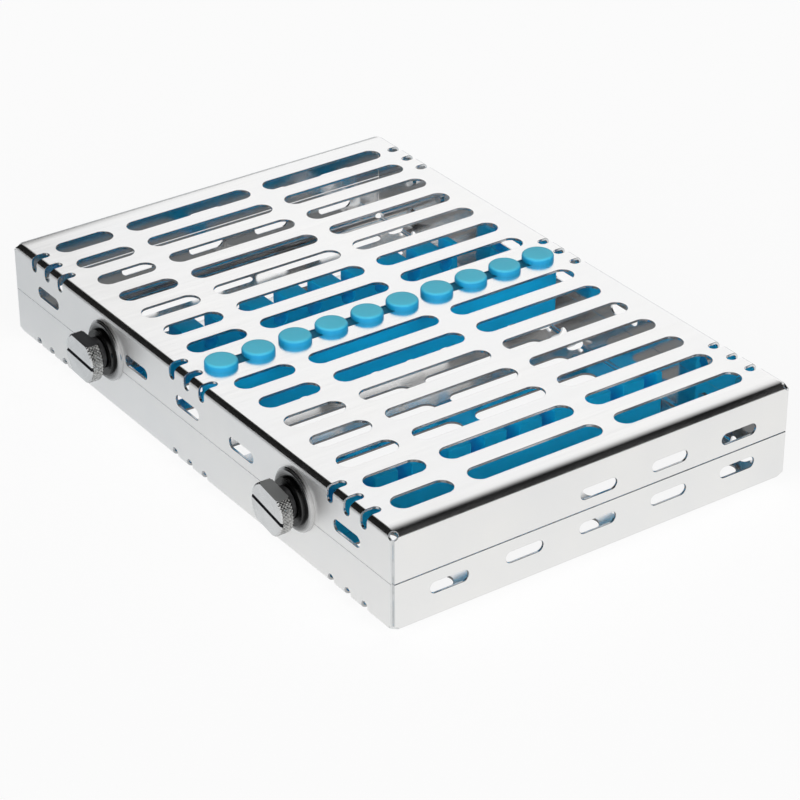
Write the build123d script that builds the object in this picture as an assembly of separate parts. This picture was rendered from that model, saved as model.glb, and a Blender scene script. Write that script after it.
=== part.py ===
from build123d import *
import os

# Dental instrument cassette: two folded steel trays hinged along one long side, with silicone
# rails that hold the instruments and two turning latches on the other long side.
# Millimetres. X runs along the cassette, Y from the latch wall (-) to the hinge wall (+), Z up.
# The origin is on the surface that the cassette stands on, at the middle of its outline.

# ---------------------------------------------------------------- trays
length = 207.0  # outside, along X
width = 139.2  # outside, along Y
tray_height = 15.65  # plate's outer face to the seam
sheet = 0.8
bend_radius = 2.0  # outside of the bends
seam_gap = 0.3  # between the two trays' free edges
corner_gap = 0.5  # open slit between two walls
corner_relief = 1.7  # radius of the cut-out where two bends meet
relief_inset = 1.1  # its centre, in from the outside faces

# ---------------------------------------------------------------- slots in the plates
row_pitch = 13.0
rows_each_side = 7  # rows on either side of the middle row
slot_lengths = (19.5, 45.0, 45.0)  # one per column, from the latch wall
slot_width = 6.8
column_gap = 6.0

# ---------------------------------------------------------------- slots over the long bends
wrap_width = 3.0
wrap_spacing = 8.1
wrap_group_inset = 21.5  # middle of an end group, from the tray's end
wrap_in = 5.4  # how far they reach into the plate
wrap_down = 4.6  # and down the lid's walls
wrap_up = 3.3  # and up the base's walls

# ---------------------------------------------------------------- obround holes in the walls
port_length = 12.8
port_width = 3.6
lid_port_height = 10.4  # centre, from the plate's outer face
base_port_height = 9.8
long_wall_port_x = 29.0  # spacing of the three in the middle
end_wall_port_spacing = 25.4
end_wall_port_count = 5
lid_end_wall_port_count = 3  # the lid has only those nearest the hinge wall

# ---------------------------------------------------------------- silicone rails
rail_thickness = 8.0
rail_end_gap = 7.5  # from the outside of the long walls
base_rail_rows = 4  # rows from the middle to each base rail
lid_rail_drop = 3.3  # the lid's rail reaches this far below the seam
base_rail_clearance = 0.2  # base rails stop this far below the seam
pocket_count = 10
pocket_pitch = 12.8
pocket_width = 6.0
pocket_depth = 9.0
arch_width = 6.0
arch_height = 4.5
stud_diameter = 10.0
stud_height = 2.0  # stands out of the plate
stud_edge_radius = 0.9
stud_slot_width = 4.6
web_clearance = 0.1  # silicone web inside its slot, each side

# ---------------------------------------------------------------- hinges
hinge_inset = 28.0  # middle of a hinge, from the tray's end
hinge_length = 24.0
leaf_thickness = 1.0
leaf_height = 9.5  # seam to the leaf's far edge
knuckle_radius = 2.0
knuckle_gap = 0.15  # between two knuckles along the pin
knuckle_wall_gap = 0.2
pin_radius = 1.0
pin_fit = 0.05
pin_head_radius = 1.7
pin_head_thickness = 0.6
rivet_radius = 1.2
rivet_fit = 0.05
rivet_head_radius = 2.1
rivet_head_thickness = 0.7
rivet_spacing = 16.0
rivet_height = 6.4  # from the seam
leaf_clearance = 0.2  # leaf edge to the other leaf's knuckles

# ---------------------------------------------------------------- latches
latch_left_inset = 57.5  # spindle axis, from the tray's end
latch_right_inset = 46.3
latch_left_turned = 3.0  # degrees from the open stop, as the latch stands at rest
latch_right_turned = 10.0
latch_depth = 12.1  # spindle axis below the lid's top face
flange_diameter = 20.0
flange_thickness = 1.6
collar_diameter = 14.6
collar_thickness = 1.2
barrel_radius = 2.4
barrel_fit = 0.05
nut_flats = 8.0
nut_thickness = 1.6
barrel_end = 0.5  # stands out of the nut
spring_space = 0.6  # bush to cam
spring_sheet = 0.3
spring_diameter = 8.0
spring_bump_radius = 0.9
spindle_radius = 1.7
spindle_fit = 0.05
knob_gap = 0.1  # collar to knob
neck_diameter = 10.0
neck_length = 2.7
knob_diameter = 15.8
knob_thickness = 4.2
knob_flat = 6.2  # each flat's distance from the axis
knob_edge = 0.4
groove_width = 1.3
groove_depth = 0.6
square_side = 2.5
square_fit = 0.04
cam_thickness = 1.5
cam_hub_radius = 4.5
cam_arm_width = 5.0
peg_orbit = 9.0
peg_radius = 1.25
peg_wall_gap = 0.4
peg_fit = 0.15  # peg inside the catch
screw_radius = 0.9
screw_fit = 0.05
screw_length = 4.0
screw_head_radius = 2.4
screw_head_thickness = 1.0
screw_slot_width = 0.6
screw_slot_depth = 0.4
catch_thickness = 2.0
catch_arm = 1.6
catch_arm_reach = 1.2  # past the peg's locked centre
catch_foot = 3.4
catch_half_width = 4.5
notch_clearance = 0.5  # base wall cut clear of the nut

# ---------------------------------------------------------------- worked-out places
hinge_offset = knuckle_radius + knuckle_wall_gap  # hinge axis out from the wall
knob_reach = flange_thickness + collar_thickness + knob_gap + neck_length + knob_thickness
hinge_reach = hinge_offset + knuckle_radius
body_y = (knob_reach - hinge_reach) / 2  # centres the whole outline on the origin
latch_face_y = body_y - width / 2
hinge_face_y = body_y + width / 2
base_plate_z = stud_height
seam_z = base_plate_z + tray_height
lid_top_z = seam_z + tray_height
latch_z = lid_top_z - latch_depth
hinge_y = hinge_face_y + hinge_offset
rim_height = tray_height - seam_gap / 2
base_rail_x = base_rail_rows * row_pitch
latch_places = {"left": latch_left_inset - length / 2, "right": length / 2 - latch_right_inset}
latch_turned = {"left": latch_left_turned, "right": latch_right_turned}
hinge_places = {"left": hinge_inset - length / 2, "right": length / 2 - hinge_inset}

LOW = (Align.CENTER, Align.CENTER, Align.MIN)
overcut = 1.0  # cutters run this far past what they cut


def slot_columns():
    """Centre (from the middle of the width) and length of each column of plate slots."""
    total = sum(slot_lengths) + column_gap * (len(slot_lengths) - 1)
    start = -total / 2
    columns = []
    for slot_length in slot_lengths:
        columns.append((start + slot_length / 2, slot_length))
        start += slot_length + column_gap
    return columns


def centred(count, pitch):
    """Places of evenly spaced things about zero."""
    return [(i - (count - 1) / 2) * pitch for i in range(count)]


def rod_y(radius, start, end):
    """Cylinder along Y between two Y places."""
    return Pos(0, start, 0) * Rot(-90, 0, 0) * Cylinder(radius, end - start, align=LOW)


def rod_x(radius, start, end):
    """Cylinder along X between two X places."""
    return Pos(start, 0, 0) * Rot(0, 90, 0) * Cylinder(radius, end - start, align=LOW)


# ================================================================ trays
def plate_slot(x, y, slot_length, slot_breadth):
    """Obround cutter along Y through the plate."""
    sketch = Pos(x, y, -sheet) * SlotOverall(slot_length, slot_breadth, rotation=90)
    return extrude(sketch, amount=3 * sheet)


def plate_slots(stud_rows):
    """Cutters for the rows of slots; rows that carry silicone studs have narrower ones."""
    cuts = []
    for row in range(-rows_each_side, rows_each_side + 1):
        breadth = stud_slot_width if row in stud_rows else slot_width
        for y, slot_length in slot_columns():
            cuts.append(plate_slot(row * row_pitch, y, slot_length, breadth))
    return cuts


def wrap_slots(wrap_height):
    """Cutters for the short slots that run over the two long bends."""
    cuts = []
    end_x = length / 2 - wrap_group_inset
    for group_x in (-end_x, 0, end_x):
        for step in centred(3, wrap_spacing):
            for side in (-1, 1):
                edge = Pos(group_x + step, side * width / 2, 0)
                flat = Pos(0, 0, -sheet) * SlotOverall(2 * wrap_in, wrap_width, rotation=90)
                cuts.append(edge * extrude(flat, amount=bend_radius + sheet))
                upright = Plane.XZ * SlotOverall(2 * wrap_height, wrap_width, rotation=90)
                cuts.append(edge * extrude(upright, amount=bend_radius, both=True))
    return cuts


def long_wall_port(x, side, height):
    """Obround cutter through a long wall; side is -1 at the latches, +1 at the hinges."""
    sketch = Plane.XZ * SlotOverall(port_length, port_width)
    return Pos(x, side * width / 2, height) * extrude(sketch, amount=2 * sheet, both=True)


def end_wall_ports(height, kept):
    """Obround cutters through both end walls: the kept ones nearest the hinge wall."""
    sketch = Plane.YZ * SlotOverall(port_length, port_width)
    cutter = extrude(sketch, amount=2 * sheet, both=True)
    places = centred(end_wall_port_count, end_wall_port_spacing)[-kept:]
    return [Pos(side * length / 2, y, height) * cutter for y in places for side in (-1, 1)]


def corner_cuts():
    """Slit and relief at each corner, where the folded walls meet but don't join."""
    cuts = []
    slit = Rot(0, 0, 45) * Box(8 * sheet, corner_gap, 4 * tray_height)
    relief = Cylinder(corner_relief, 2 * bend_radius)
    for sx in (-1, 1):
        for sy in (-1, 1):
            turn = 0 if sx == sy else 90
            corner = Pos(sx * length / 2, sy * width / 2, 0)
            cuts.append(corner * Rot(0, 0, turn) * slit)
            cuts.append(Pos(-sx * relief_inset, -sy * relief_inset, 0) * corner * relief)
    return cuts


def rivet_holes():
    """Holes in the hinge wall, as heights above the tray's outer face."""
    height = tray_height - rivet_height
    cuts = []
    for x in hinge_places.values():
        for step in centred(2, rivet_spacing):
            hole = rod_y(rivet_radius + rivet_fit, width / 2 - 2 * sheet, width / 2 + sheet)
            cuts.append(Pos(x + step, 0, height) * hole)
    return cuts


def folded_tray(cuts):
    """Plate with four walls folded up; the plate's outer face is at z = 0."""
    outer = Box(length, width, rim_height, align=LOW)
    outer = fillet(outer.faces().sort_by(Axis.Z)[0].edges(), bend_radius)
    inner = Pos(0, 0, sheet) * Box(length - 2 * sheet, width - 2 * sheet, rim_height, align=LOW)
    inner = fillet(inner.faces().sort_by(Axis.Z)[0].edges(), bend_radius - sheet)
    return outer - inner - (cuts + corner_cuts() + rivet_holes())


def base_shell():
    """Lower tray, with a notch in its latch wall behind each latch."""
    cuts = plate_slots((-base_rail_rows, base_rail_rows))
    cuts += wrap_slots(wrap_up)
    cuts += end_wall_ports(base_port_height, end_wall_port_count)
    notch_half = nut_flats / 2 + 2 * notch_clearance
    notch_floor = latch_z - base_plate_z - notch_half
    for x in latch_places.values():
        notch = Box(2 * notch_half, 3 * sheet, tray_height, align=LOW)
        cuts.append(Pos(x, -width / 2, notch_floor) * notch)
    return Pos(0, body_y, base_plate_z) * folded_tray(cuts)


def lid_shell():
    """Upper tray, with a hole for each latch's barrel, open to the wall's free edge."""
    cuts = plate_slots((0,))
    cuts += wrap_slots(wrap_down)
    cuts += end_wall_ports(lid_port_height, lid_end_wall_port_count)
    for x in centred(3, long_wall_port_x):
        cuts.append(long_wall_port(x, -1, lid_port_height))
        cuts.append(long_wall_port(x, 1, lid_port_height))
    for side in (-1, 1):
        x = side * (length / 2 - wrap_group_inset)
        cuts.append(long_wall_port(x, -1, lid_port_height))
    hole_radius = barrel_radius + barrel_fit
    for x in latch_places.values():
        bore = rod_y(hole_radius, -width / 2 - sheet, -width / 2 + 2 * sheet)
        cuts.append(Pos(x, 0, latch_depth) * bore)
        mouth = Box(2 * hole_radius, 4 * sheet, tray_height, align=LOW)
        cuts.append(Pos(x, -width / 2, latch_depth) * mouth)
    return Pos(0, body_y, lid_top_z) * mirror(folded_tray(cuts), about=Plane.XY)


# ================================================================ silicone rails
def studs_and_webs():
    """Heads outside the plate and the webs that fill its slots; plate's outer face at z = 0."""
    head = Cylinder(stud_diameter / 2, stud_height, align=(Align.CENTER, Align.CENTER, Align.MAX))
    head = fillet(head.edges().filter_by(GeomType.CIRCLE).sort_by(Axis.Z)[0], stud_edge_radius)
    solids = [Pos(0, y, 0) * head for y in centred(pocket_count, pocket_pitch)]
    for y, slot_length in slot_columns():
        web = SlotOverall(slot_length - 2 * web_clearance, stud_slot_width - 2 * web_clearance,
                          rotation=90)
        solids.append(extrude(Pos(0, y, 0) * web, amount=sheet))
    return solids


def rail_block(rail_height):
    """Plain rail standing on the plate's inner face."""
    block = Box(rail_thickness, width - 2 * rail_end_gap, rail_height, align=LOW)
    return Pos(0, 0, sheet) * block


def base_rail(x):
    """Rail with a U pocket for each instrument, open at the top."""
    rail_height = tray_height - sheet - base_rail_clearance
    top = sheet + rail_height
    rail = rail_block(rail_height)
    floor = top - pocket_depth + pocket_width / 2
    for y in centred(pocket_count, pocket_pitch):
        rail -= Pos(0, y, floor) * rod_x(pocket_width / 2, -rail_thickness, rail_thickness)
        rail -= Pos(0, y, floor) * Box(2 * rail_thickness, pocket_width, tray_height, align=LOW)
    return Pos(x, body_y, base_plate_z) * (rail + studs_and_webs())


def lid_rail():
    """Rail that hangs from the lid and holds the instruments down, with an arch over each."""
    rail_height = tray_height - sheet + lid_rail_drop
    top = sheet + rail_height
    rail = rail_block(rail_height)
    arch_radius = ((arch_width / 2) ** 2 + arch_height ** 2) / (2 * arch_height)
    arch_centre = top - arch_height + arch_radius
    for y in centred(pocket_count, pocket_pitch):
        rail -= Pos(0, y, arch_centre) * rod_x(arch_radius, -rail_thickness, rail_thickness)
    return Pos(0, body_y, lid_top_z) * mirror(rail + studs_and_webs(), about=Plane.XY)


# ================================================================ hinges
def knuckle_spans():
    """X spans of the three knuckles: the lid's in the middle, the base's on either side."""
    knuckle_length = hinge_length / 3
    spans = []
    for i in range(3):
        start = -hinge_length / 2 + i * knuckle_length
        low = start + (knuckle_gap / 2 if i > 0 else 0)
        high = start + knuckle_length - (knuckle_gap / 2 if i < 2 else 0)
        spans.append((low, high))
    return spans


def hinge_leaf(knuckles, side):
    """Leaf outside the hinge wall; side is +1 on the lid and -1 on the base.

    Built about the pin's axis, with Y away from the wall.
    """
    start = knuckle_radius + leaf_clearance
    plate = Box(hinge_length, leaf_thickness, leaf_height - start,
                align=(Align.CENTER, Align.MIN, Align.MIN))
    leaf = Pos(0, -hinge_offset, start) * plate
    for low, high in knuckles:
        leaf += rod_x(knuckle_radius, low, high)
        tab = Box(high - low, leaf_thickness, start, align=(Align.MIN, Align.MIN, Align.MIN))
        leaf += Pos(low, -hinge_offset, 0) * tab
    leaf -= rod_x(pin_radius + pin_fit, -hinge_length, hinge_length)
    for step in centred(2, rivet_spacing):
        hole = rod_y(rivet_radius + rivet_fit, -2 * hinge_offset, hinge_offset)
        leaf -= Pos(step, 0, rivet_height) * hole
    if side < 0:
        leaf = mirror(leaf, about=Plane.XY)
    return leaf


def hinge_pin():
    """Pin with a low head at each end, clear of the knuckles."""
    end = hinge_length / 2 + pin_fit
    pin = rod_x(pin_radius, -end, end)
    pin += rod_x(pin_head_radius, end, end + pin_head_thickness)
    pin += rod_x(pin_head_radius, -end - pin_head_thickness, -end)
    return pin


def hinge_rivet():
    """Rivet through leaf and wall, with Y = 0 at the wall's outer face."""
    rivet = rod_y(rivet_radius, -sheet - rivet_head_thickness, leaf_thickness)
    head = rod_y(rivet_head_radius, 0, rivet_head_thickness)
    head = fillet(head.edges().filter_by(GeomType.CIRCLE).sort_by(Axis.Y)[-1],
                  0.7 * rivet_head_thickness)
    rivet += Pos(0, leaf_thickness, 0) * head
    rivet += rod_y(rivet_head_radius, -sheet - rivet_head_thickness, -sheet)
    return rivet


def rivet_group(side):
    """The four rivets of the lid's leaves (+1) or the base's (-1)."""
    places = [(x + step) for x in hinge_places.values() for step in centred(2, rivet_spacing)]
    z = seam_z + side * rivet_height
    return Compound(children=[Pos(x, hinge_face_y, z) * hinge_rivet() for x in places])


# ================================================================ latches
# Each latch piece is built about the spindle's axis, with Y = 0 at the wall's outer face and
# -Y outwards, and at the open stop, where the knob's groove runs along the seam.
collar_y = -flange_thickness - collar_thickness
neck_y = collar_y - knob_gap
head_y = neck_y - neck_length
nut_y = sheet + nut_thickness
spring_y = nut_y + barrel_end
cam_y = spring_y + spring_space
cam_end_y = cam_y + cam_thickness


def latch_bush():
    """Flanged bush that carries the spindle, clamped in the lid's wall."""
    bush = rod_y(flange_diameter / 2, -flange_thickness, 0)
    bush = chamfer(bush.edges().filter_by(GeomType.CIRCLE).sort_by(Axis.Y)[0],
                   flange_thickness / 2)
    bush += rod_y(collar_diameter / 2, collar_y, -flange_thickness)
    bush += rod_y(barrel_radius, 0, spring_y)
    return bush - rod_y(spindle_radius + spindle_fit, collar_y - overcut, spring_y + overcut)


def latch_nut():
    """Hexagon nut that clamps the bush from inside the wall."""
    profile = Plane.XZ * RegularPolygon(nut_flats / 2, 6, major_radius=False)
    nut = Pos(0, nut_y, 0) * extrude(profile, amount=nut_thickness)
    return nut - rod_y(barrel_radius + barrel_fit, 0, 2 * nut_y)


def latch_knob():
    """Round knob with two flats and a groove, in one piece with its neck and spindle."""
    head = rod_y(knob_diameter / 2, head_y - knob_thickness, head_y)
    for side in (-1, 1):
        flat = Box(2 * knob_diameter, 4 * knob_thickness, knob_diameter, align=LOW)
        if side < 0:
            flat = Rot(0, 180, 0) * flat
        head -= Pos(0, head_y, side * knob_flat) * flat
    front = head.faces().sort_by(Axis.Y)[0]
    head = chamfer(front.edges(), knob_edge)
    groove = Box(2 * knob_diameter, 2 * groove_depth, groove_width)
    head -= Pos(0, head_y - knob_thickness, 0) * groove
    knob = head + rod_y(neck_diameter / 2, head_y, neck_y)
    knob += rod_y(spindle_radius, neck_y, cam_y)
    square_end = cam_end_y - screw_fit
    square = Box(square_side, square_end - cam_y, square_side,
                 align=(Align.CENTER, Align.MIN, Align.CENTER))
    knob += Pos(0, cam_y, 0) * square
    bottom = cam_end_y - screw_length - overcut
    return knob - rod_y(screw_radius + screw_fit, bottom, cam_end_y + overcut)


def latch_spring():
    """Crimped washer between the bush and the cam: three bumps on each face."""
    crimp = (spring_space - spring_sheet) / 2
    washer = rod_y(spring_diameter / 2, spring_y + crimp, cam_y - crimp)
    washer -= rod_y(spindle_radius + 2 * spindle_fit, spring_y, cam_y)
    bump_orbit = (spring_diameter / 2 + spindle_radius) / 2
    towards_cam = Pos(bump_orbit, 0, 0) * rod_y(spring_bump_radius, spring_y + crimp, cam_y)
    towards_bush = Pos(bump_orbit, 0, 0) * rod_y(spring_bump_radius, spring_y, cam_y - crimp)
    for i in range(3):
        washer += Rot(0, 120 * i, 0) * towards_cam
        washer += Rot(0, 120 * i + 60, 0) * towards_bush
    return washer


def latch_cam():
    """Cam with an arm to +X and a peg towards the wall; a quarter turn points the arm down."""
    cam = rod_y(cam_hub_radius, cam_y, cam_end_y)
    arm = Box(peg_orbit, cam_thickness, cam_arm_width,
              align=(Align.MIN, Align.MIN, Align.CENTER))
    cam += Pos(0, cam_y, 0) * arm
    cam += Pos(peg_orbit, 0, 0) * rod_y(cam_arm_width / 2, cam_y, cam_end_y)
    cam += Pos(peg_orbit, 0, 0) * rod_y(peg_radius, sheet + peg_wall_gap, cam_end_y)
    hole_side = square_side + 2 * square_fit
    return cam - Box(hole_side, 4 * cam_end_y, hole_side)


def latch_screw():
    """Slotted screw that holds the cam on the spindle's square."""
    screw = rod_y(screw_radius, cam_end_y - screw_length, cam_end_y)
    screw += rod_y(screw_head_radius, cam_end_y, cam_end_y + screw_head_thickness)
    slot = Box(4 * screw_head_radius, 2 * screw_slot_depth, screw_slot_width)
    return screw - Pos(0, cam_end_y + screw_head_thickness, 0) * slot


def latch_catch():
    """Hooked plate inside the base's wall; the peg swings under its arm from the +X side."""
    arm_under = -peg_orbit + peg_radius + peg_fit
    slot_under = -peg_orbit - peg_radius - peg_fit
    top = arm_under + catch_arm
    bottom = slot_under - catch_foot
    plate = Box(2 * catch_half_width, catch_thickness, top - bottom,
                align=(Align.CENTER, Align.MIN, Align.MIN))
    catch = Pos(0, sheet, bottom) * plate
    slot_radius = peg_radius + peg_fit
    catch -= Pos(0, 0, -peg_orbit) * rod_y(slot_radius, 0, 2 * catch_thickness)
    way = Box(2 * catch_half_width, 4 * catch_thickness, 2 * slot_radius,
              align=(Align.MIN, Align.CENTER, Align.CENTER))
    catch -= Pos(0, catch_thickness, -peg_orbit) * way
    mouth = Box(2 * catch_half_width, 4 * catch_thickness, 2 * catch_arm,
                align=(Align.MIN, Align.CENTER, Align.MIN))
    catch -= Pos(catch_arm_reach, catch_thickness, arm_under - peg_fit) * mouth
    return catch


# ================================================================ assembly
def build_nodes():
    """Every node of the cassette, in its place with the lid shut."""
    nodes = {"base_shell": base_shell(), "lid_shell": lid_shell()}
    nodes["base_rail_left"] = base_rail(-base_rail_x)
    nodes["base_rail_right"] = base_rail(base_rail_x)
    nodes["lid_rail"] = lid_rail()
    spans = knuckle_spans()
    for side, x in hinge_places.items():
        place = Pos(x, hinge_y, seam_z)
        nodes[f"hinge_leaf_base_{side}"] = place * hinge_leaf([spans[0], spans[2]], -1)
        nodes[f"hinge_leaf_lid_{side}"] = place * hinge_leaf([spans[1]], 1)
        nodes[f"hinge_pin_{side}"] = place * hinge_pin()
    nodes["hinge_rivets_base"] = rivet_group(-1)
    nodes["hinge_rivets_lid"] = rivet_group(1)
    pieces = {
        "bush": latch_bush(),
        "nut": latch_nut(),
        "knob": latch_knob(),
        "spring": latch_spring(),
        "cam": latch_cam(),
        "screw": latch_screw(),
        "catch": latch_catch(),
    }
    for side, x in latch_places.items():
        fixed = Pos(x, latch_face_y, latch_z)
        turned = fixed * Rot(0, latch_turned[side], 0)
        for name, piece in pieces.items():
            place = turned if name in ("knob", "cam", "screw") else fixed
            nodes[f"latch_{name}_{side}"] = place * piece
    return nodes


os.makedirs("parts", exist_ok=True)
for node_name, node_shape in build_nodes().items():
    node_shape.label = node_name
    export_step(node_shape, f"parts/{node_name}.step")
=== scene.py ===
import math

import bmesh
import bpy
from mathutils import Matrix, Vector


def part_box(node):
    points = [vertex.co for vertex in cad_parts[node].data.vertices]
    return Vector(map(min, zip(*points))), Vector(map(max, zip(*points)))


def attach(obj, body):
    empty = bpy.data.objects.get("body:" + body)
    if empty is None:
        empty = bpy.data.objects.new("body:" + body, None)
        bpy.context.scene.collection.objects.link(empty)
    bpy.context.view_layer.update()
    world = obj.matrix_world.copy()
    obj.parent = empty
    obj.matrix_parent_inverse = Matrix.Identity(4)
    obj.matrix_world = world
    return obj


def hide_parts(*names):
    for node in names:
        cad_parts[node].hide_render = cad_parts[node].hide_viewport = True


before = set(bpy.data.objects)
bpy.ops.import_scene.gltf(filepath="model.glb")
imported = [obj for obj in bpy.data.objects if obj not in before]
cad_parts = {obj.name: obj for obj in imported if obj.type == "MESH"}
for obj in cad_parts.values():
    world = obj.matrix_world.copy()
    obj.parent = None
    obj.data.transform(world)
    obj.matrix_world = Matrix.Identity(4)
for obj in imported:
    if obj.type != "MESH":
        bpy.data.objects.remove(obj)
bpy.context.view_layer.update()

MM = 0.001
BODY_OF_SIDE = {"left": "latch_left", "right": "latch_right"}

# ---------------------------------------------------------------- places read from the CAD parts
lid_low, lid_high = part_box("lid_shell")
base_low, base_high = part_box("base_shell")
tray_length = lid_high.x - lid_low.x
tray_width = lid_high.y - lid_low.y
tray_middle_y = (lid_high.y + lid_low.y) / 2
lid_top = lid_high.z
base_under = base_low.z
lid_wall_drop = lid_high.z - lid_low.z
base_wall_rise = base_high.z - base_low.z
latch_wall_y = lid_low.y

# ---------------------------------------------------------------- sizes of the folded sheet
sheet = 0.8 * MM
bend_radius = 2.0 * MM  # outside of the bends
bend_steps = 6
cut_break = 0.12 * MM  # broken edge of every cut
corner_relief = 1.7 * MM  # radius of the hole where two bends meet
relief_inset = 0.7 * MM  # its centre, in from the outside faces
wall_end_gap = 0.75 * MM  # a wall stops this far short of the corner
long_seam_closing = 0.14 * MM  # the long walls meet closer than the end walls
end_crown = (4.0 * MM, math.radians(16.0))  # the plate rolls over before an end bend
long_crown = (0.5 * MM, math.radians(3.0))

# ---------------------------------------------------------------- sizes of the openings
row_pitch = 13.0 * MM
rows_each_side = 7
slot_lengths = (19.5 * MM, 45.0 * MM, 45.0 * MM)  # from the latch wall
slot_width = 6.8 * MM
stud_slot_width = 4.6 * MM
column_gap = 6.0 * MM
base_rail_rows = (-4, 4)
wrap_width = 3.0 * MM
wrap_spacing = 8.1 * MM
wrap_group_x = 82.0 * MM
wrap_in = 5.4 * MM
lid_wrap_depth = 4.6 * MM
base_wrap_depth = 3.3 * MM
port_length = 12.8 * MM
port_width = 3.6 * MM
lid_port_depth = 10.4 * MM
base_port_depth = 9.8 * MM
middle_port_x = 29.0 * MM
end_port_spacing = 25.4 * MM

# ---------------------------------------------------------------- sizes of the silicone rails
rail_thickness = 8.0 * MM
rail_end_gap = 7.5 * MM
pocket_count = 10
pocket_pitch = 12.8 * MM
pocket_width = 4.8 * MM
pocket_lip = 0.25 * MM
pocket_depth = 9.0 * MM
arch_width = 6.0 * MM
arch_height = 1.4 * MM
stud_radius = 5.0 * MM
stud_height = 2.0 * MM
stud_edge_radius = 0.9 * MM
web_width = 4.4 * MM
web_end_gap = 0.1 * MM
web_recess = 0.4 * MM  # below the plate's face
silicone_edge = 0.45 * MM
broad_corners = 100  # a face with more corners is a rail's flat side

# ---------------------------------------------------------------- sizes of the latches
knob_radius = 7.9 * MM
knob_thickness = 4.2 * MM
knob_flat = 6.2 * MM
neck_radius = 5.0 * MM
neck_length = 2.7 * MM
spindle_radius = 1.7 * MM
groove_width = 1.3 * MM
groove_depth = 0.6 * MM
knurl_count = 46
knurl_depth = 0.28 * MM
flange_radius = 9.6 * MM
flange_thickness = 1.6 * MM
collar_radius = 7.3 * MM
collar_thickness = 1.2 * MM
barrel_radius = 2.4 * MM
bush_inside = 2.9 * MM
knob_turn = {"left": math.radians(3.0), "right": math.radians(10.0)}


# ================================================================ meshes
def object_from(name, mesh):
    """A linked object at the origin that shows this mesh."""
    piece = bpy.data.objects.new(name, mesh)
    bpy.context.scene.collection.objects.link(piece)
    return piece


def face_outwards(shape):
    """Turn every face of a closed shape outwards."""
    bmesh.ops.recalc_face_normals(shape, faces=shape.faces)
    if shape.calc_volume(signed=True) < 0:
        bmesh.ops.reverse_faces(shape, faces=shape.faces)
    shape.normal_update()


def mesh_from(name, build):
    """A mesh made by the function build, with closed seams and faces that point outwards."""
    shape = bmesh.new()
    build(shape)
    bmesh.ops.remove_doubles(shape, verts=shape.verts, dist=0.002 * MM)
    face_outwards(shape)
    mesh = bpy.data.meshes.new(name)
    shape.to_mesh(mesh)
    shape.free()
    return mesh


def smooth_by_angle(mesh, degrees):
    """Smooth shading with every edge sharper than this angle kept hard."""
    shape = bmesh.new()
    shape.from_mesh(mesh)
    limit = math.radians(degrees)
    for face in shape.faces:
        face.smooth = True
    for edge in shape.edges:
        hard = len(edge.link_faces) == 2 and edge.calc_face_angle(0.0) > limit
        broad = any(len(face.verts) > broad_corners for face in edge.link_faces)
        edge.smooth = not (hard or broad)
    shape.to_mesh(mesh)
    shape.free()


def add_bevel(piece, width, segments, degrees=40.0):
    """A live bevel on the edges sharper than this angle."""
    bevel = piece.modifiers.new("edge_break", "BEVEL")
    bevel.width = width
    bevel.segments = segments
    bevel.limit_method = "ANGLE"
    bevel.angle_limit = math.radians(degrees)
    bevel.use_clamp_overlap = True
    bevel.harden_normals = False
    return bevel


def baked(piece):
    """The piece with its modifiers turned into plain mesh."""
    bpy.context.view_layer.update()
    seen = piece.evaluated_get(bpy.context.evaluated_depsgraph_get())
    mesh = bpy.data.meshes.new_from_object(seen)
    mesh.name = piece.name
    piece.modifiers.clear()
    piece.data = mesh
    return piece


def lathed(shape, profile, steps, centre):
    """Rings round an axis along Y from (radius, y) pairs, closed at both ends."""
    rings = []
    for radius, y in profile:
        if radius < 1e-9:
            rings.append([shape.verts.new((centre.x, centre.y + y, centre.z))])
            continue
        ring = []
        for i in range(steps):
            turn = 2 * math.pi * i / steps
            place = (centre.x + radius * math.cos(turn), centre.y + y,
                     centre.z + radius * math.sin(turn))
            ring.append(shape.verts.new(place))
        rings.append(ring)
    for first, second in zip(rings, rings[1:]):
        for i in range(steps):
            j = (i + 1) % steps
            if len(first) == 1:
                shape.faces.new((first[0], second[i], second[j]))
            elif len(second) == 1:
                shape.faces.new((first[i], first[j], second[0]))
            else:
                shape.faces.new((first[i], first[j], second[j], second[i]))


def dress(piece, body, slot, materials, *nodes):
    """Give a finished piece its materials, its body and the CAD nodes that it stands for."""
    for material in materials:
        piece.data.materials.append(material)
    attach(piece, body)
    if nodes:
        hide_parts(*nodes)
    return piece


# ================================================================ geometry node trees
def start_tree(name, inputs):
    """A geometry tree with one geometry socket each way and these named inputs."""
    tree = bpy.data.node_groups.new(name, "GeometryNodeTree")
    tree.interface.new_socket("Geometry", in_out="INPUT", socket_type="NodeSocketGeometry")
    for label, kind in inputs:
        tree.interface.new_socket(label, in_out="INPUT", socket_type=kind)
    tree.interface.new_socket("Geometry", in_out="OUTPUT", socket_type="NodeSocketGeometry")
    return tree, tree.nodes.new("NodeGroupInput"), tree.nodes.new("NodeGroupOutput")


def node(tree, kind, values=None, **settings):
    """A node with its settings, and its input sockets set or linked by index or name."""
    made = tree.nodes.new(kind)
    for key, value in settings.items():
        setattr(made, key, value)
    for key, value in (values or {}).items():
        if isinstance(value, bpy.types.NodeSocket):
            tree.links.new(value, made.inputs[key])
        else:
            made.inputs[key].default_value = value
    return made


def run_tree(piece, tree, values):
    """Put the tree on the piece, set its inputs by identifier and bake the result."""
    modifier = piece.modifiers.new(tree.name, "NODES")
    modifier.node_group = tree
    for item in tree.interface.items_tree:
        if item.in_out == "INPUT" and item.name in values:
            modifier[item.identifier] = values[item.name]
    return baked(piece)


def named_attribute(tree, name, kind):
    """The value of a named attribute."""
    return node(tree, "GeometryNodeInputNamedAttribute", {"Name": name}, data_type=kind)


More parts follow.
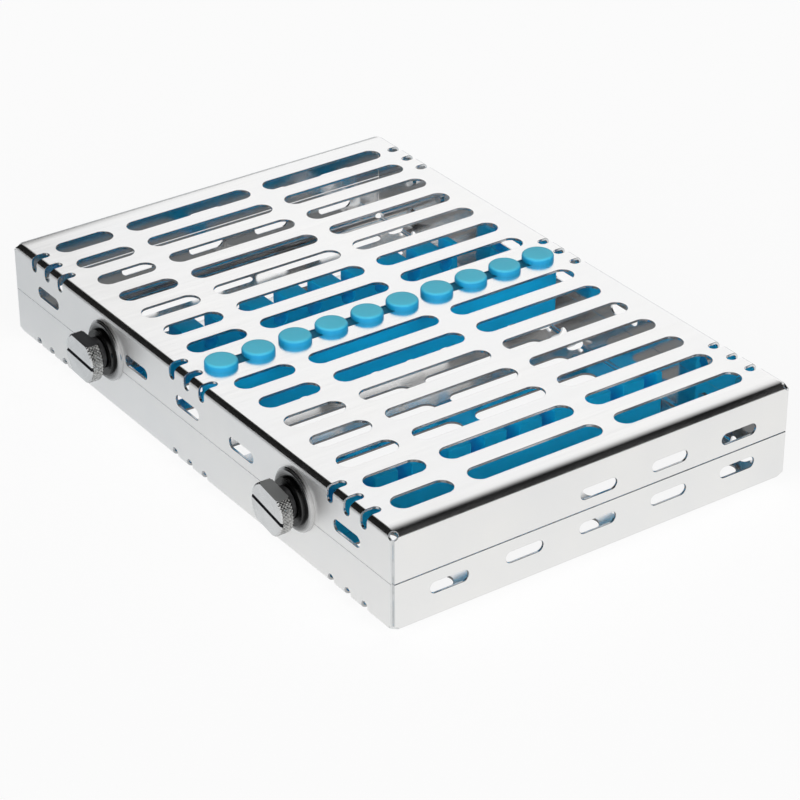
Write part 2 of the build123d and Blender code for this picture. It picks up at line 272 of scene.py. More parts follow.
def maths(tree, operation, first, second=0.0):
    """The result of one sum."""
    made = node(tree, "ShaderNodeMath", {0: first, 1: second}, operation=operation)
    return made.outputs[0]


def opening_curves(tree, places, arc_points):
    """Obround curves at the points of places, sized and turned by their attributes."""
    half_step = maths(tree, "DIVIDE", math.pi, arc_points)
    circle = node(tree, "GeometryNodeCurvePrimitiveCircle",
                  {"Resolution": arc_points, "Radius": 1.0})
    tilt = node(tree, "ShaderNodeCombineXYZ", {"Z": half_step})
    copies = node(tree, "GeometryNodeInstanceOnPoints",
                  {"Points": places, "Instance": circle.outputs[0],
                   "Rotation": tilt.outputs[0]})
    real = node(tree, "GeometryNodeRealizeInstances", {"Geometry": copies.outputs[0]})
    spot = named_attribute(tree, "opening_place", "FLOAT_VECTOR").outputs[0]
    wide = named_attribute(tree, "opening_width", "FLOAT").outputs[0]
    long = named_attribute(tree, "opening_length", "FLOAT").outputs[0]
    turn = named_attribute(tree, "opening_turn", "FLOAT").outputs[0]
    here = node(tree, "GeometryNodeInputPosition").outputs[0]
    unit = node(tree, "ShaderNodeVectorMath", {0: here, 1: spot}, operation="SUBTRACT")
    parts = node(tree, "ShaderNodeSeparateXYZ", {0: unit.outputs[0]})
    grow = maths(tree, "DIVIDE", maths(tree, "MULTIPLY", wide, 0.5),
                 maths(tree, "COSINE", half_step))
    reach = maths(tree, "MULTIPLY", maths(tree, "SUBTRACT", long, wide), 0.5)
    stretch = maths(tree, "MULTIPLY", maths(tree, "SIGN", parts.outputs[1]), reach)
    local_x = maths(tree, "MULTIPLY", parts.outputs[0], grow)
    local_y = maths(tree, "ADD", maths(tree, "MULTIPLY", parts.outputs[1], grow), stretch)
    local = node(tree, "ShaderNodeCombineXYZ", {"X": local_x, "Y": local_y})
    turned = node(tree, "ShaderNodeVectorRotate", {"Vector": local.outputs[0], "Angle": turn},
                  rotation_type="Z_AXIS")
    final = node(tree, "ShaderNodeVectorMath", {0: turned.outputs[0], 1: spot},
                 operation="ADD")
    return node(tree, "GeometryNodeSetPosition",
                {"Geometry": real.outputs[0], "Position": final.outputs[0]}).outputs[0]


def cut_profile(tree, thickness, edge_break):
    """Section of a cut edge: from one face, over both broken edges, to the other face.

    Its X goes into the sheet and its Y goes down through the thickness.
    """
    line = node(tree, "GeometryNodeMeshLine", {"Count": 4})
    low = maths(tree, "SUBTRACT", thickness, edge_break)
    rows = [
        node(tree, "ShaderNodeCombineXYZ", {"X": edge_break}),
        node(tree, "ShaderNodeCombineXYZ", {"Y": edge_break}),
        node(tree, "ShaderNodeCombineXYZ", {"Y": low}),
        node(tree, "ShaderNodeCombineXYZ", {"X": edge_break, "Y": thickness}),
    ]
    pick = node(tree, "GeometryNodeIndexSwitch", data_type="VECTOR")
    while len(pick.index_switch_items) < 4:
        pick.index_switch_items.new()
    tree.links.new(node(tree, "GeometryNodeInputIndex").outputs[0], pick.inputs["Index"])
    for i, row in enumerate(rows):
        tree.links.new(row.outputs[0], pick.inputs[str(i)])
    bent = node(tree, "GeometryNodeSetPosition",
                {"Geometry": line.outputs[0], "Position": pick.outputs[0]})
    return node(tree, "GeometryNodeMeshToCurve", {"Mesh": bent.outputs[0]}).outputs[0]


def perforated_blank_tree():
    """Tree that turns an outline and a set of opening points into a flat pierced sheet."""
    tree, given, result = start_tree("perforated_blank", (
        ("Sheet thickness", "NodeSocketFloat"),
        ("Edge break", "NodeSocketFloat"),
        ("Arc points", "NodeSocketInt"),
        ("Face finish", "NodeSocketMaterial"),
        ("Cut edge finish", "NodeSocketMaterial"),
    ))
    thickness = given.outputs["Sheet thickness"]
    edge_break = given.outputs["Edge break"]
    wide = named_attribute(tree, "opening_width", "FLOAT").outputs[0]
    is_opening = node(tree, "FunctionNodeCompare", {0: wide, 1: 0.0}, data_type="FLOAT",
                      operation="GREATER_THAN")
    sorted_out = node(tree, "GeometryNodeSeparateGeometry",
                      {"Geometry": given.outputs["Geometry"],
                       "Selection": is_opening.outputs[0]}, domain="POINT")
    places = node(tree, "GeometryNodeMeshToPoints", {"Mesh": sorted_out.outputs[0]})
    border = node(tree, "GeometryNodeMeshToCurve", {"Mesh": sorted_out.outputs[1]})
    outline = node(tree, "GeometryNodeReverseCurve", {"Curve": border.outputs[0]})
    openings = opening_curves(tree, places.outputs[0], given.outputs["Arc points"])
    joined = node(tree, "GeometryNodeJoinGeometry")
    tree.links.new(outline.outputs[0], joined.inputs[0])
    tree.links.new(openings, joined.inputs[0])
    level = node(tree, "GeometryNodeSetCurveNormal", {"Curve": joined.outputs[0]}, mode="Z_UP")
    curves = level.outputs[0]
    rim = node(tree, "GeometryNodeCurveToMesh",
               {"Curve": curves, "Profile Curve": cut_profile(tree, thickness, edge_break)})
    normal = node(tree, "GeometryNodeInputNormal").outputs[0]
    step_in = node(tree, "ShaderNodeVectorMath", {0: normal, "Scale": edge_break},
                   operation="SCALE")
    inset = node(tree, "GeometryNodeSetPosition",
                 {"Geometry": curves, "Offset": step_in.outputs[0]})
    outer = node(tree, "GeometryNodeFillCurve", {"Curve": inset.outputs[0]})
    drop = node(tree, "ShaderNodeCombineXYZ", {"Z": maths(tree, "MULTIPLY", thickness, -1.0)})
    lowered = node(tree, "GeometryNodeTransform",
                   {"Geometry": outer.outputs[0], "Translation": drop.outputs[0]})
    inner = node(tree, "GeometryNodeFlipFaces", {"Mesh": lowered.outputs[0]})
    marked = node(tree, "GeometryNodeStoreNamedAttribute",
                  {"Geometry": rim.outputs[0], "Name": "cut_edge", "Value": True},
                  data_type="BOOLEAN", domain="FACE")
    whole = node(tree, "GeometryNodeJoinGeometry")
    for part in (outer.outputs[0], inner.outputs[0], marked.outputs[0]):
        tree.links.new(part, whole.inputs[0])
    sewn = node(tree, "GeometryNodeMergeByDistance",
                {"Geometry": whole.outputs[0], "Distance": 0.01 * MM})
    real = node(tree, "GeometryNodeRealizeInstances", {"Geometry": sewn.outputs[0]})
    faces = node(tree, "GeometryNodeSetMaterial",
                 {"Geometry": real.outputs[0], "Material": given.outputs["Face finish"]})
    cut = named_attribute(tree, "cut_edge", "BOOLEAN").outputs[0]
    edges = node(tree, "GeometryNodeSetMaterial",
                 {"Geometry": faces.outputs[0], "Selection": cut,
                  "Material": given.outputs["Cut edge finish"]})
    tree.links.new(edges.outputs[0], result.inputs[0])
    return tree


def repeated_row_tree():
    """Tree that repeats the given shape along a straight row."""
    tree, given, result = start_tree("repeated_row", (
        ("Count", "NodeSocketInt"),
        ("First place", "NodeSocketVector"),
        ("Step", "NodeSocketVector"),
        ("Finish", "NodeSocketMaterial"),
    ))
    row = node(tree, "GeometryNodeMeshLine",
               {"Count": given.outputs["Count"],
                "Start Location": given.outputs["First place"],
                "Offset": given.outputs["Step"]})
    copies = node(tree, "GeometryNodeInstanceOnPoints",
                  {"Points": row.outputs[0], "Instance": given.outputs["Geometry"]})
    real = node(tree, "GeometryNodeRealizeInstances", {"Geometry": copies.outputs[0]})
    finished = node(tree, "GeometryNodeSetMaterial",
                    {"Geometry": real.outputs[0], "Material": given.outputs["Finish"]})
    tree.links.new(finished.outputs[0], result.inputs[0])
    return tree


# ================================================================ folded trays
flat_x = tray_length / 2 - bend_radius  # where the bends start on the plate
flat_y = tray_width / 2 - bend_radius
bend_arc = bend_radius * math.pi / 2


def unrolled(depth):
    """Distance past a bend's start on the flat blank, for a depth below the plate's face."""
    return bend_arc + depth - bend_radius


def slot_columns():
    """Centre from the middle of the width, and length, of each column of slots."""
    start = -(sum(slot_lengths) + column_gap * (len(slot_lengths) - 1)) / 2
    columns = []
    for slot_length in slot_lengths:
        columns.append((start + slot_length / 2, slot_length))
        start += slot_length + column_gap
    return columns


def plate_openings(stud_rows):
    """Openings (u, v, length, width, turn) of the rows of slots."""
    openings = []
    for row in range(-rows_each_side, rows_each_side + 1):
        width = stud_slot_width if row in stud_rows else slot_width
        for v, slot_length in slot_columns():
            openings.append((row * row_pitch, v, slot_length, width, 0.0))
    return openings


def wrap_openings(depth):
    """Slots that run over the two long bends."""
    start = flat_y + bend_radius - wrap_in
    end = flat_y + unrolled(depth)
    openings = []
    for group in (-wrap_group_x, 0.0, wrap_group_x):
        for step in (-1, 0, 1):
            for side in (-1, 1):
                u = group + step * wrap_spacing
                openings.append((u, side * (start + end) / 2, end - start, wrap_width, 0.0))
    return openings


def long_wall_opening(x, side, depth):
    """Obround hole along a long wall."""
    return (x, side * (flat_y + unrolled(depth)), port_length, port_width, math.pi / 2)


def end_wall_openings(depth, places):
    """Obround holes along both end walls."""
    u = flat_x + unrolled(depth)
    steps = [end_port_spacing * place for place in places]
    return [(side * u, v, port_length, port_width, 0.0) for v in steps for side in (-1, 1)]


def corner_arc(turn):
    """Points round the relief hole at one corner of the blank; its turn is not used."""
    inset = bend_radius - relief_inset
    edge = bend_radius - wall_end_gap
    offset = math.asin((edge - inset) / corner_relief)
    start = offset
    end = math.pi / 2 - offset - 2 * math.pi
    steps = 20
    points = []
    for i in range(steps + 1):
        angle = start + (end - start) * i / steps
        u = inset + corner_relief * math.cos(angle)
        v = inset + corner_relief * math.sin(angle)
        points.append((u, v))
    return points


def notched_edge(half, notches):
    """Places (along, inwards) over one free edge with its notches, from one end to the other."""
    points = [(-half, 0.0)]
    for centre, notch_half, depth, rounded in sorted(notches):
        points.append((centre - notch_half, 0.0))
        if rounded:
            for i in range(13):
                angle = math.pi - math.pi * i / 12
                points.append((centre + notch_half * math.cos(angle),
                               depth + notch_half * math.sin(angle)))
        else:
            points.append((centre - notch_half, depth))
            points.append((centre + notch_half, depth))
        points.append((centre + notch_half, 0.0))
    points.append((half, 0.0))
    return points


def blank_outline(wall_depth, latch_notches):
    """Outline of the flat blank: four walls with relief holes between them."""
    end_reach = unrolled(wall_depth)
    long_reach = end_reach + long_seam_closing
    sides = (
        (flat_x, flat_y, end_reach, lambda out, along: (out, along), ()),
        (flat_y, flat_x, long_reach, lambda out, along: (-along, out), ()),
        (flat_x, flat_y, end_reach, lambda out, along: (-out, -along), ()),
        (flat_y, flat_x, long_reach, lambda out, along: (along, -out), latch_notches),
    )
    edge = bend_radius - wall_end_gap
    points = []
    for out_flat, along_flat, reach, place, notches in sides:
        half = along_flat + edge
        for along, inwards in notched_edge(half, notches):
            points.append(place(out_flat + reach - inwards, along))
        for out, along in corner_arc(0):
            points.append(place(out_flat + out, along_flat + along))
    return points


def folded(place):
    """Where a point of the flat blank goes once the walls are folded down."""
    past_x = abs(place.x) - flat_x
    past_y = abs(place.y) - flat_y
    if max(past_x, past_y) <= 0:
        return place
    past = max(past_x, past_y)
    turn = min(past / bend_radius, math.pi / 2)
    arm = bend_radius + place.z
    out = arm * math.sin(turn)
    height = arm * math.cos(turn) - bend_radius - max(past - bend_arc, 0.0)
    if past_x > past_y:
        return Vector((math.copysign(flat_x + out, place.x), place.y, height))
    return Vector((place.x, math.copysign(flat_y + out, place.y), height))


def crowned_turn(past, crown):
    """How far the surface has turned at a distance past the start of a bend."""
    reach, first = crown
    if past <= -reach:
        return 0.0
    if past <= 0:
        return first * (1 + past / reach) ** 2
    return first + (math.pi / 2 - first) * min(past / bend_arc, 1.0)


def folded_direction(place, direction):
    """Where a direction at a point of the flat blank turns to."""
    past_x = abs(place.x) - flat_x
    past_y = abs(place.y) - flat_y
    turn_x = crowned_turn(past_x, end_crown)
    turn_y = crowned_turn(past_y, long_crown)
    turn = max(turn_x, turn_y)
    if turn_x >= turn_y:
        side = math.copysign(1.0, place.x)
        out, along = direction.x * side, Vector((0, direction.y, 0))
        axis = Vector((side, 0, 0))
    else:
        side = math.copysign(1.0, place.y)
        out, along = direction.y * side, Vector((direction.x, 0, 0))
        axis = Vector((0, side, 0))
    level = out * math.cos(turn) + direction.z * math.sin(turn)
    height = direction.z * math.cos(turn) - out * math.sin(turn)
    return axis * level + along + Vector((0, 0, height))


def edge_directions(shape):
    """At each point of the cut edges of the flat blank, the level direction out of the sheet."""
    directions = {}
    for vertex in shape.verts:
        total = Vector((0, 0, 0))
        for face in vertex.link_faces:
            if face.material_index == 1 and abs(face.normal.z) < 0.3:
                total += Vector((face.normal.x, face.normal.y, 0)) * face.calc_area()
        if total.length > 0:
            directions[vertex.index] = total.normalized()
    return directions


def blank_direction(face, vertex_index, place, directions):
    """Shading direction of one corner of a face while the blank is flat."""
    level_face = Vector((face.normal.x, face.normal.y, 0))
    if face.material_index == 0 or place.z > -0.01 * MM or place.z < 0.01 * MM - sheet:
        return Vector((0, 0, 1 if place.z > -sheet / 2 else -1))
    level = directions.get(vertex_index, level_face)
    if level_face.length > 0.3 and level.angle(level_face) > math.radians(35):
        level = level_face
    return level.normalized()


def cut_bends(shape):
    """Cut the flat blank along the lines of its bends and of the roll before them."""
    bend = [bend_arc * i / bend_steps for i in range(bend_steps + 1)]
    ends = [-end_crown[0] * i / 6 for i in range(6, 0, -1)] + bend
    longs = [-long_crown[0]] + bend
    for side in (-1, 1):
        for axis, start, cuts in ((Vector((side, 0, 0)), flat_x, ends),
                                  (Vector((0, side, 0)), flat_y, longs)):
            for past in cuts:
                everything = shape.verts[:] + shape.edges[:] + shape.faces[:]
                bmesh.ops.bisect_plane(shape, geom=everything, plane_co=axis * (start + past),
                                       plane_no=axis, dist=0.001 * MM)


def folded_sheet(name, outline, openings, tree, finishes, to_world):
    """A tray: pierced blank from the tree, cut at its bends, folded and put in its place."""
    flat = bpy.data.meshes.new(name)
    count = len(outline)
    spots = [(u, v, 0.0) for u, v in outline] + [(o[0], o[1], 0.0) for o in openings]
    flat.from_pydata(spots, [(i, (i + 1) % count) for i in range(count)], [])
    sizes = (("opening_length", 2), ("opening_width", 3), ("opening_turn", 4))
    for label, index in sizes:
        layer = flat.attributes.new(label, "FLOAT", "POINT")
        layer.data.foreach_set("value", [0.0] * count + [o[index] for o in openings])
    layer = flat.attributes.new("opening_place", "FLOAT_VECTOR", "POINT")
    layer.data.foreach_set("vector", [c for spot in spots for c in spot])
    piece = run_tree(object_from(name, flat), tree, {
        "Sheet thickness": sheet,
        "Edge break": cut_break,
        "Arc points": 28,
        "Face finish": finishes[0],
        "Cut edge finish": finishes[1],
    })
    shape = bmesh.new()
    shape.from_mesh(piece.data)
    cut_bends(shape)
    face_outwards(shape)
    shape.verts.index_update()
    directions = edge_directions(shape)
    origin = to_world(Vector((0, 0, 0)))
    shading = {}
    for face in shape.faces:
        for vertex in face.verts:
            level = blank_direction(face, vertex.index, vertex.co, directions)
            turned = to_world(folded_direction(vertex.co, level)) - origin
            shading[face.index, vertex.index] = turned.normalized()
    for vertex in shape.verts:
        vertex.co = to_world(folded(vertex.co))
    face_outwards(shape)
    corners = []
    for face in shape.faces:
        face.smooth = True
        corners += [shading[face.index, loop.vert.index] for loop in face.loops]
    shape.to_mesh(piece.data)
    shape.free()
    piece.data.normals_split_custom_set(corners)
    for label in ("opening_length", "opening_width", "opening_turn", "opening_place"):
        if label in piece.data.attributes:
            piece.data.attributes.remove(piece.data.attributes[label])
    return piece


def lid_tray(tree, finishes):
    """Upper tray, with round mouths for the two latch barrels."""
    openings = plate_openings((0,)) + wrap_openings(lid_wrap_depth)
    openings += end_wall_openings(lid_port_depth, (0, 1, 2))
    for x in (-middle_port_x, 0.0, middle_port_x):
        openings.append(long_wall_opening(x, -1, lid_port_depth))
        openings.append(long_wall_opening(x, 1, lid_port_depth))
    for x in (-wrap_group_x, wrap_group_x):
        openings.append(long_wall_opening(x, -1, lid_port_depth))
    hole = barrel_radius + 0.05 * MM
    notches = [(axis.x, hole, axis.z - lid_low.z, True) for axis in latch_axes.values()]
    outline = blank_outline(lid_wall_drop, notches)

    def to_world(place):
        return Vector((place.x, place.y + tray_middle_y, lid_top + place.z))

    return folded_sheet("lid_tray", outline, openings, tree, finishes, to_world)


def base_tray(tree, finishes):
    """Lower tray, with a notch behind each latch."""
    openings = plate_openings(base_rail_rows) + wrap_openings(base_wrap_depth)
    openings += end_wall_openings(base_port_depth, (-2, -1, 0, 1, 2))
    notch_half = 5.0 * MM
    notches = []
    for axis in latch_axes.values():
        depth = base_high.z - (axis.z - notch_half)
        notches.append((axis.x, notch_half, depth, False))
    outline = blank_outline(base_wall_rise, notches)

    def to_world(place):
        return Vector((place.x, place.y + tray_middle_y, base_under - place.z))

    return folded_sheet("base_tray", outline, openings, tree, finishes, to_world)


# ================================================================ silicone rails
def centred(count, pitch):
    """Evenly spaced places about zero."""
    return [(i - (count - 1) / 2) * pitch for i in range(count)]


def closed_profile(points, half, end_height):
    """Outline from the points of a rail's free edge, cut off at the rail's ends."""
    kept = [(y, up) for y, up in points if abs(y) < half - silicone_edge]
    return [(-half, 0.0), (half, 0.0), (half, end_height), *kept, (-half, end_height)]


def pocket_profile(rail_height):
    """Side view (y, up) of a base rail with its U pockets, counter-clockwise."""
    half = tray_width / 2 - rail_end_gap
    radius = pocket_width / 2
    floor = rail_height - pocket_depth + radius
    points = []
    for y in reversed(centred(pocket_count, pocket_pitch)):
        points.append((y + radius + pocket_lip, rail_height))
        points.append((y + radius + 0.3 * pocket_lip, rail_height - 0.3 * pocket_lip))
        points.append((y + radius, rail_height - pocket_lip))
        for i in range(17):
            angle = -math.pi * i / 16
            points.append((y + radius * math.cos(angle), floor + radius * math.sin(angle)))
        points.append((y - radius, rail_height - pocket_lip))
        points.append((y - radius - 0.3 * pocket_lip, rail_height - 0.3 * pocket_lip))
        points.append((y - radius - pocket_lip, rail_height))
    return closed_profile(points, half, rail_height)


def arch_profile(rail_height):
    """Side view (y, up) of the lid's rail with an arch over each place."""
    half = tray_width / 2 - rail_end_gap
    radius = ((arch_width / 2) ** 2 + arch_height ** 2) / (2 * arch_height)
    centre = rail_height - arch_height + radius
    sweep = math.acos((centre - rail_height) / radius)
    steps = 18
    points = []
    for y in reversed(centred(pocket_count, pocket_pitch)):
        for i in range(steps + 1):
            angle = sweep - 2 * sweep * i / steps
            points.append((y + radius * math.sin(angle), centre - radius * math.cos(angle)))
    return closed_profile(points, half, rail_height)


def rail_strip(name, profile, x, to_world):
    """The strip of a rail, with rounded silicone edges."""
    def build(shape):
        front = [shape.verts.new((x + rail_thickness / 2, y, up)) for y, up in profile]
        back = [shape.verts.new((x - rail_thickness / 2, y, up)) for y, up in profile]
        shape.faces.new(front)
        shape.faces.new(reversed(back))
        for i in range(len(profile)):
            j = (i + 1) % len(profile)
            shape.faces.new((front[i], back[i], back[j], front[j]))
        for vertex in shape.verts:
            vertex.co = to_world(vertex.co)
    piece = object_from(name, mesh_from(name, build))
    add_bevel(piece, silicone_edge, 3)
    return baked(piece)


def stud_head(name, x, y, to_world):
    """One low round head: flat in the middle, rolled over at its edge."""
    outline = [(0.0, stud_height)]
    flat = stud_radius - stud_edge_radius
    dish = 0.08 * MM
    outline.append((0.5 * flat, stud_height - 0.2 * dish))
    outline.append((0.85 * flat, stud_height - 0.6 * dish))
    for i in range(7):
        angle = math.pi / 2 * (1 - i / 6)
        outline.append((flat + stud_edge_radius * math.cos(angle),
                        stud_height - dish - stud_edge_radius * (1 - math.sin(angle))))
    outline.append((stud_radius, 0.0))
    outline.append((0.0, 0.0))

    def build(shape):
        lathed(shape, [(radius, -up) for radius, up in outline], 40, Vector((0, 0, 0)))
        for vertex in shape.verts:
            flat_place = vertex.co.copy()
            local = Vector((x + flat_place.x, y + flat_place.z, flat_place.y))
            vertex.co = to_world(local)
    return object_from(name, mesh_from(name, build))


def web_strip(name, x, to_world):
    """Silicone that fills the slots between the heads, just below the plate's face."""
    def build(shape):
        for y, slot_length in slot_columns():
            reach = slot_length / 2 - web_width / 2 - web_end_gap
            rims = []
            for up, shrink in ((1.2 * sheet, 0.0), (web_recess + 0.1 * MM, 0.0),
                               (web_recess, 0.1 * MM)):
                ring = []
                for i in range(36):
                    angle = 2 * math.pi * (i + 0.5) / 36
                    side = math.copysign(reach, math.sin(angle))
                    radius = web_width / 2 - shrink
                    place = Vector((x + radius * math.cos(angle),
                                    y + side + radius * math.sin(angle), up))
                    ring.append(shape.verts.new(to_world(place)))
                rims.append(ring)
            for first, second in zip(rims, rims[1:]):
                for i in range(36):
                    j = (i + 1) % 36
                    shape.faces.new((first[i], first[j], second[j], second[i]))
            shape.faces.new(rims[-1])
            shape.faces.new(reversed(rims[0]))
    return object_from(name, mesh_from(name, build))


def joined(name, parts):
    """One piece from several, with their meshes put together."""
    shape = bmesh.new()
    for part in parts:
        shape.from_mesh(part.data)
        bpy.data.objects.remove(part)
    mesh = bpy.data.meshes.new(name)
    shape.to_mesh(mesh)
    shape.free()
    return object_from(name, mesh)


def silicone_rail(name, x, profile, row_tree, silicone, to_world):
    """A rail: strip, webs in the plate's slots and ten heads outside."""
    strip = rail_strip(f"{name}_strip", profile, x, to_world)
    webs = web_strip(f"{name}_webs", x, to_world)
    first = to_world(Vector((0, -pocket_pitch * (pocket_count - 1) / 2, 0)))
    origin = to_world(Vector((0, 0, 0)))
    heads = stud_head(f"{name}_heads", x, 0.0, to_world)
    run_tree(heads, row_tree, {
        "Count": pocket_count,
        "First place": (0.0, first.y - origin.y, 0.0),
        "Step": (0.0, pocket_pitch, 0.0),
        "Finish": silicone,
    })
    rail = joined(name, [strip, webs, heads])
    smooth_by_angle(rail.data, 38.0)
    return rail


def base_rail(side, x, row_tree, silicone):
    """Base rail with U pockets, open at the top."""
    node_low, node_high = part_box(f"base_rail_{side}")
    rail_height = node_high.z - base_under - sheet

    def to_world(place):
        return Vector((place.x, place.y + tray_middle_y, base_under + place.z))

    profile = [(y, up + sheet) for y, up in pocket_profile(rail_height)]
    return silicone_rail(f"base_holder_{side}", x, profile, row_tree, silicone, to_world)


def lid_rail(row_tree, silicone):
    """Lid rail that hangs down, with arches."""
    node_low, node_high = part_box("lid_rail")
    rail_height = lid_top - sheet - node_low.z

    def to_world(place):
        return Vector((place.x, place.y + tray_middle_y, lid_top - place.z))

    profile = [(y, up + sheet) for y, up in arch_profile(rail_height)]
    return silicone_rail("lid_holder", 0.0, profile, row_tree, silicone, to_world)


# ================================================================ latches
def latch_axis(side):
    """Place of a latch's spindle axis on the wall's outer face."""
    low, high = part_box(f"latch_bush_{side}")
    return Vector(((low.x + high.x) / 2, latch_wall_y, (low.z + high.z) / 2))


latch_axes = {side: latch_axis(side) for side in ("left", "right")}


def knurled_radius(turn, along):
    """Radius of the knob's side with a diamond pattern."""
    lanes = turn * knurl_count / (2 * math.pi)
    rise = along / (2 * math.pi * knob_radius / knurl_count)
    first = abs(2 * ((lanes + rise) % 1.0) - 1)
    second = abs(2 * ((lanes - rise) % 1.0) - 1)
    return knob_radius - knurl_depth * (1 - min(1.0, 1.35 * min(first, second)))


def knob_blank(shape, axis, front, back):
    """Round head of the knob with its knurled side, closed at both ends."""
    around = knurl_count * 8
    rows = 30
    bevel = 0.4 * MM
    rings = []
    for i in range(rows + 1):
        along = bevel + (knob_thickness - 2 * bevel) * i / rows
        ring = []
        for k in range(around):
            turn = 2 * math.pi * k / around
            radius = knurled_radius(turn, along)
            ring.append(shape.verts.new((axis.x + radius * math.cos(turn), front + along,
                                         axis.z + radius * math.sin(turn))))
        rings.append(ring)
    ends = []
    for y, ring in ((front, rings[0]), (back, rings[-1])):
        rim = []
        for k in range(around):
            turn = 2 * math.pi * k / around
            radius = knob_radius - bevel - 0.5 * knurl_depth
            rim.append(shape.verts.new((axis.x + radius * math.cos(turn), y,
                                        axis.z + radius * math.sin(turn))))
        ends.append(rim)
    rings = [ends[0]] + rings + [ends[1]]
    for first, second in zip(rings, rings[1:]):
        for k in range(around):
            j = (k + 1) % around
            shape.faces.new((first[k], first[j], second[j], second[k]))
    shape.faces.new(ends[0])
    shape.faces.new(reversed(ends[1]))


def cut_flats(shape, axis):
    """Cut the two flats, above and below, and close them."""
    for side in (-1, 1):
        everything = shape.verts[:] + shape.edges[:] + shape.faces[:]
        cut = bmesh.ops.bisect_plane(shape, geom=everything,
                                     plane_co=(axis.x, axis.y, axis.z + side * knob_flat),
                                     plane_no=(0, 0, side), clear_outer=True)
        edges = [e for e in cut["geom_cut"] if isinstance(e, bmesh.types.BMEdge)]
        bmesh.ops.contextual_create(shape, geom=edges)


def groove_cutter(axis, front):
    """Block that cuts the groove across the knob's front."""
    def build(shape):
        bmesh.ops.create_cube(shape, size=1.0)
        for vertex in shape.verts:
            vertex.co = Vector((vertex.co.x * 3 * knob_radius + axis.x,
                                vertex.co.y * 2 * groove_depth + front,
                                vertex.co.z * groove_width + axis.z))
    return object_from("groove_cutter", mesh_from("groove_cutter", build))


def paint_knob(mesh, axis, front):
    """Material index by place: 0 turned face, 1 knurl, 2 groove, 3 neck and back, 4 flats."""
    for face in mesh.polygons:
        centre = face.center
        radial = math.hypot(centre.x - axis.x, centre.z - axis.z)
        across = abs(centre.z - axis.z)
        if centre.y > front + knob_thickness - 0.02 * MM:
            face.material_index = 3
        elif across > knob_flat - 0.02 * MM:
            face.material_index = 4
        elif across < groove_width / 2 + 0.01 * MM and centre.y > front + 0.05 * MM \
                and centre.y < front + groove_depth + 0.02 * MM and radial < knob_radius:
            face.material_index = 2
        elif radial > knob_radius - 1.2 * knurl_depth and abs(face.normal.y) < 0.6 \
                and across < knob_flat - 0.01 * MM:
            face.material_index = 1
        else:
            face.material_index = 0


def latch_knob(side, materials):
    """Knurled knob with two flats, a groove, a neck and its spindle."""
    axis = latch_axes[side]
    low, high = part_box(f"latch_knob_{side}")
    front = low.y
    back = front + knob_thickness

    def build(shape):
        knob_blank(shape, axis, front, back)
        cut_flats(shape, axis)

    head = object_from(f"knob_{side}", mesh_from(f"knob_{side}", build))
    cutter = groove_cutter(axis, front)
    groove = head.modifiers.new("groove", "BOOLEAN")
    groove.operation = "DIFFERENCE"
    groove.solver = "EXACT"
    groove.object = cutter
    baked(head)
    bpy.data.objects.remove(cutter)

    def build_neck(shape):
        profile = [(0.0, back - 0.2 * MM), (neck_radius, back - 0.2 * MM),
                   (neck_radius, back + neck_length - 0.3 * MM),
                   (neck_radius - 0.3 * MM, back + neck_length),
                   (spindle_radius, back + neck_length), (spindle_radius, high.y - 0.2 * MM),
                   (spindle_radius - 0.2 * MM, high.y), (0.0, high.y)]
        lathed(shape, profile, 64, Vector((axis.x, 0, axis.z)))

    neck = object_from(f"neck_{side}", mesh_from(f"neck_{side}", build_neck))
    knob = joined(f"knurled_knob_{side}", [head, neck])
    paint_knob(knob.data, axis, front)
    smooth_by_angle(knob.data, 28.0)
    turn = Matrix.Rotation(knob_turn[side], 4, "Y")
    knob.data.transform(Matrix.Translation(axis) @ turn @ Matrix.Translation(-axis))
    return dress(knob, BODY_OF_SIDE[side], "latch_steel", materials, f"latch_knob_{side}")


def latch_bush(side, materials):
    """Flanged bush with its collar, turned from one bar."""
    axis = latch_axes[side]
    bore = spindle_radius + 0.05 * MM
    soft = 0.15 * MM
    collar_face = -flange_thickness - collar_thickness
    profile = [
        (bore, collar_face), (collar_radius - soft, collar_face),
        (collar_radius, collar_face + soft), (collar_radius, -flange_thickness),
        (flange_radius - flange_thickness / 2 - soft, -flange_thickness),
        (flange_radius - flange_thickness / 2, -flange_thickness + soft / 2),
        (flange_radius, -flange_thickness / 2), (flange_radius, -soft / 2),
        (flange_radius - soft / 2, 0.0), (barrel_radius, 0.0),
        (barrel_radius, bush_inside - soft), (barrel_radius - soft, bush_inside),
        (bore, bush_inside), (bore, collar_face),
    ]

    def build(shape):
        lathed(shape, profile, 96, axis)

    bush = object_from(f"flanged_bush_{side}", mesh_from(f"flanged_bush_{side}", build))
    smooth_by_angle(bush.data, 28.0)
    return dress(bush, "lid", "latch_steel", materials, f"latch_bush_{side}")


# ================================================================ hinges
def softened_copy(name, node_name, width):
    """A copy of a CAD node with its doubles merged and its edges broken."""
    def build(shape):
        shape.from_mesh(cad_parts[node_name].data)
        bmesh.ops.remove_doubles(shape, verts=shape.verts, dist=0.01 * MM)
        bmesh.ops.dissolve_limit(shape, angle_limit=math.radians(1.0), verts=shape.verts,
                                 edges=shape.edges)
    piece = object_from(name, mesh_from(name, build))
    add_bevel(piece, width, 2, 50.0)
    baked(piece)
    smooth_by_angle(piece.data, 32.0)
    return piece


